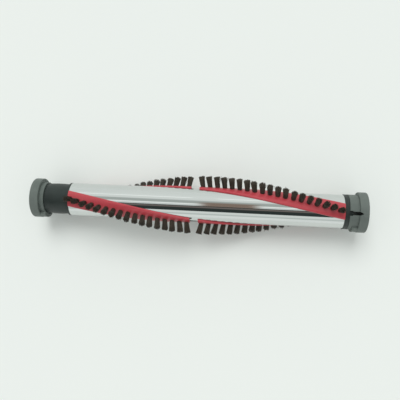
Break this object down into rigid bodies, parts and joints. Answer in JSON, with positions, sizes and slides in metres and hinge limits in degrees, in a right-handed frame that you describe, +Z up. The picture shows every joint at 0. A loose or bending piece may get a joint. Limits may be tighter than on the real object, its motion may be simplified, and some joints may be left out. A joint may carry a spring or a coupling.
{
  "type": "vacuum brush roll",
  "caption": "Chromed steel vacuum brush roll with helical rows of slide-in tufted strips, a crowned belt pulley and keyed end caps on a through shaft.",
  "frame": {"origin": "on the roll's axis, midway between the outer faces of the two end caps", "axes": "+X along the axis from the drive (pulley) end to the idle end, +Z up and away from the floor side when the roll lies on its tufts, +Y away from the caps' key lugs"},
  "size_m": [0.3186, 0.0558, 0.0556],
  "materials": {
    "chrome_tube": "bright chrome plate on rolled steel sheet",
    "red_plastic": "smooth extruded red plastic",
    "bristle": "dark grey-brown nylon bristle",
    "black_plastic": "moulded black plastic, faint grain",
    "grey_plastic": "moulded dark grey plastic, faint grain",
    "shaft_steel": "turned steel",
    "spring_steel": "blackened spring steel",
    "felt": "pressed grey felt",
    "bearing_steel": "ground bearing steel",
    "cage_plastic": "moulded nylon"
  },
  "bodies": {
    "roll": {"tube": "chrome_tube", "strip_a_drive": "red_plastic", "strip_a_idle": "red_plastic", "strip_b_drive": "red_plastic", "strip_b_idle": "red_plastic", "tufts_a_drive": "bristle", "tufts_a_idle": "bristle", "tufts_b_drive": "bristle", "tufts_b_idle": "bristle", "drive_pulley": "black_plastic", "idle_plug": "black_plastic", "drive_bearing_outer_ring": "bearing_steel", "drive_bearing_outboard_shield": "bearing_steel", "drive_bearing_inboard_shield": "bearing_steel", "drive_felt_seal": "felt", "idle_bearing_outer_ring": "bearing_steel", "idle_bearing_outboard_shield": "bearing_steel", "idle_bearing_inboard_shield": "bearing_steel", "idle_felt_seal": "felt"},
    "axle": {"shaft": "shaft_steel", "drive_bearing_inner_ring": "bearing_steel", "drive_clip": "spring_steel", "drive_cap": "grey_plastic", "idle_bearing_inner_ring": "bearing_steel", "idle_clip": "spring_steel", "idle_cap": "grey_plastic"},
    "drive_ball_set": {"drive_bearing_cage": "cage_plastic", "drive_bearing_balls": "bearing_steel"},
    "idle_ball_set": {"idle_bearing_cage": "cage_plastic", "idle_bearing_balls": "bearing_steel"}
  },
  "joints": [
    {"name": "axle_spin", "type": "hinge", "parent": "roll", "child": "axle", "pos_m": [0, 0, 0], "axis": [1, 0, 0], "continuous": true},
    {"name": "drive_ball_set_spin", "type": "hinge", "parent": "roll", "child": "drive_ball_set", "pos_m": [-0.142, 0, 0], "axis": [1, 0, 0], "continuous": true},
    {"name": "idle_ball_set_spin", "type": "hinge", "parent": "roll", "child": "idle_ball_set", "pos_m": [0.142, 0, 0], "axis": [1, 0, 0], "continuous": true}
  ],
  "couplings": [
    {"joint": "drive_ball_set_spin", "follows": "axle_spin", "ratio": 0.3677},
    {"joint": "idle_ball_set_spin", "follows": "axle_spin", "ratio": 0.3677}
  ]
}
